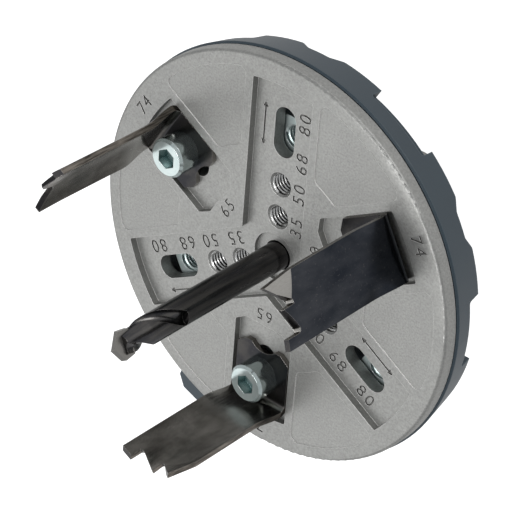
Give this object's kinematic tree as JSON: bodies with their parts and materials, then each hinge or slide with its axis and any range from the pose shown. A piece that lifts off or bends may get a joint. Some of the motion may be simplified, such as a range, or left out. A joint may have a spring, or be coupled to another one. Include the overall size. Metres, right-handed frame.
{
  "type": "adjustable hole saw",
  "caption": "Round carrier disc with channels, pockets and slots that hold upright curved toothed blades at equal radii round a pilot drill, with a cover and shank behind.",
  "frame": {"origin": "on the tool's axis, at the shoulder where the round shank leaves the arbor's collar", "axes": "+Z along the axis from the shank to the drill's tip; one channel points along +Y"},
  "size_m": [0.0902, 0.0952, 0.0956],
  "materials": {
    "cast_aluminium": "bead blasted",
    "cover_plastic": "satin",
    "zinc_steel": "bright zinc",
    "turned_steel": "turned",
    "black_steel": "black oxide",
    "carbide": "ground"
  },
  "bodies": {
    "carrier": {"carrier_disc": "cast_aluminium", "back_cover": "cover_plastic", "cover_screws": "zinc_steel", "arbor": "turned_steel", "arbor_washer": "zinc_steel", "arbor_lock_nut": "zinc_steel", "drill_set_screw": "black_steel", "pilot_drill": "black_steel", "drill_tip": "carbide"},
    "blade_set_1": {"blade_1": "black_steel", "blade_screw_1": "zinc_steel", "blade_nut_1": "zinc_steel"},
    "blade_set_2": {"blade_2": "black_steel", "blade_screw_2": "zinc_steel", "blade_nut_2": "zinc_steel"},
    "blade_set_3": {"blade_3": "black_steel", "blade_screw_3": "zinc_steel", "blade_nut_3": "zinc_steel"},
    "spare_nut_1": {"slot_nut_1": "zinc_steel"},
    "spare_nut_2": {"slot_nut_2": "zinc_steel"},
    "spare_nut_3": {"slot_nut_3": "zinc_steel"}
  },
  "joints": [
    {"name": "blade_slide_1", "type": "slide", "parent": "carrier", "child": "blade_set_1", "axis": [0.866, 0.5, 0], "range_m": [-0.00422, 0.00028]},
    {"name": "blade_slide_2", "type": "slide", "parent": "carrier", "child": "blade_set_2", "axis": [-0.866, 0.5, 0], "range_m": [-0.00422, 0.00028]},
    {"name": "blade_slide_3", "type": "slide", "parent": "carrier", "child": "blade_set_3", "axis": [0, -1, 0], "range_m": [-0.00422, 0.00028]},
    {"name": "nut_slide_1", "type": "slide", "parent": "carrier", "child": "spare_nut_1", "axis": [0, 1, 0], "range_m": [-0.00075, 0.00525]},
    {"name": "nut_slide_2", "type": "slide", "parent": "carrier", "child": "spare_nut_2", "axis": [-0.866, -0.5, 0], "range_m": [-0.003, 0.003]},
    {"name": "nut_slide_3", "type": "slide", "parent": "carrier", "child": "spare_nut_3", "axis": [0.866, -0.5, 0], "range_m": [-0.0045, 0.0015]}
  ]
}
